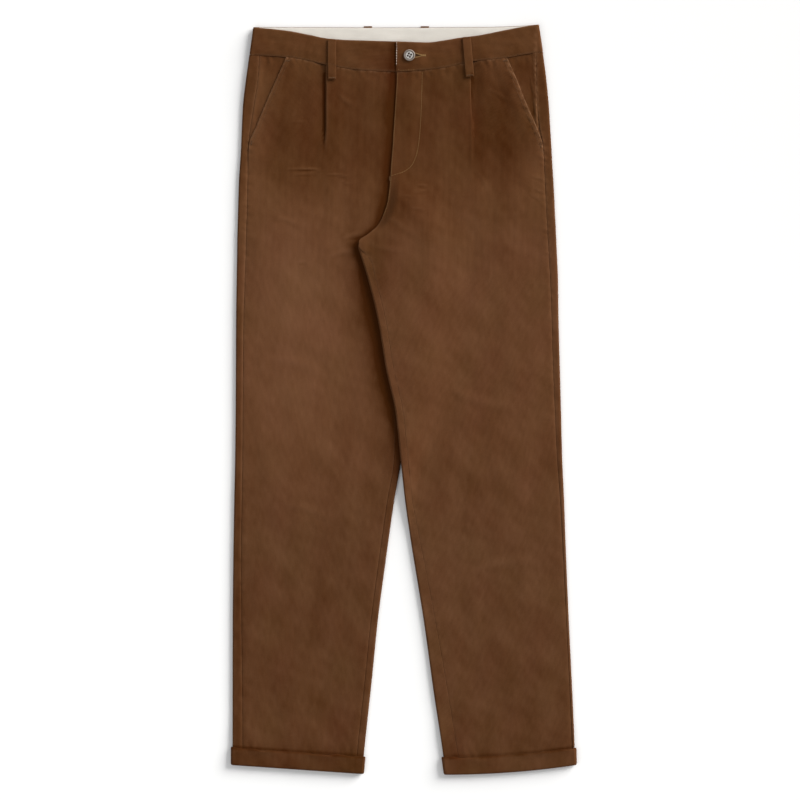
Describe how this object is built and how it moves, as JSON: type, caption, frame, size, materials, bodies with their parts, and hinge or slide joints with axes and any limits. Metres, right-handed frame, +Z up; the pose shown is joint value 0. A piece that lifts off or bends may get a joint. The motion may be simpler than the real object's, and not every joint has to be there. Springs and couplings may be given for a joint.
{
  "type": "trousers",
  "caption": "Needlecord trousers laid flat on their back: pleated front, slanted pockets, buttoned waistband with belt loops and turned-up hems.",
  "frame": {"origin": "the middle of the laid garment's outline on the surface that it lies on", "axes": "+Y from the hems up to the waist, +X to the wearer's left, +Z up off the surface"},
  "size_m": [0.4985, 1.0801, 0.0137],
  "materials": {
    "corduroy": "matte, fine lengthwise wales",
    "cotton": "matte, plain weave",
    "button": "satin",
    "thread": "matte"
  },
  "bodies": {
    "root": {"front_right": "corduroy", "front_left": "corduroy", "back_right": "corduroy", "back_left": "corduroy", "pocket_facing_right": "corduroy", "pocket_facing_left": "corduroy", "cuff_right": "corduroy", "cuff_left": "corduroy", "waistband_right": "corduroy", "waistband_left": "corduroy", "waistband_lining": "cotton", "belt_loop_front_right": "corduroy", "belt_loop_front_left": "corduroy", "belt_loop_back_right": "corduroy", "belt_loop_back_left": "corduroy", "belt_loop_back_side_right": "corduroy", "belt_loop_back_side_left": "corduroy", "button": "button", "button_shank": "thread"}
  },
  "joints": []
}
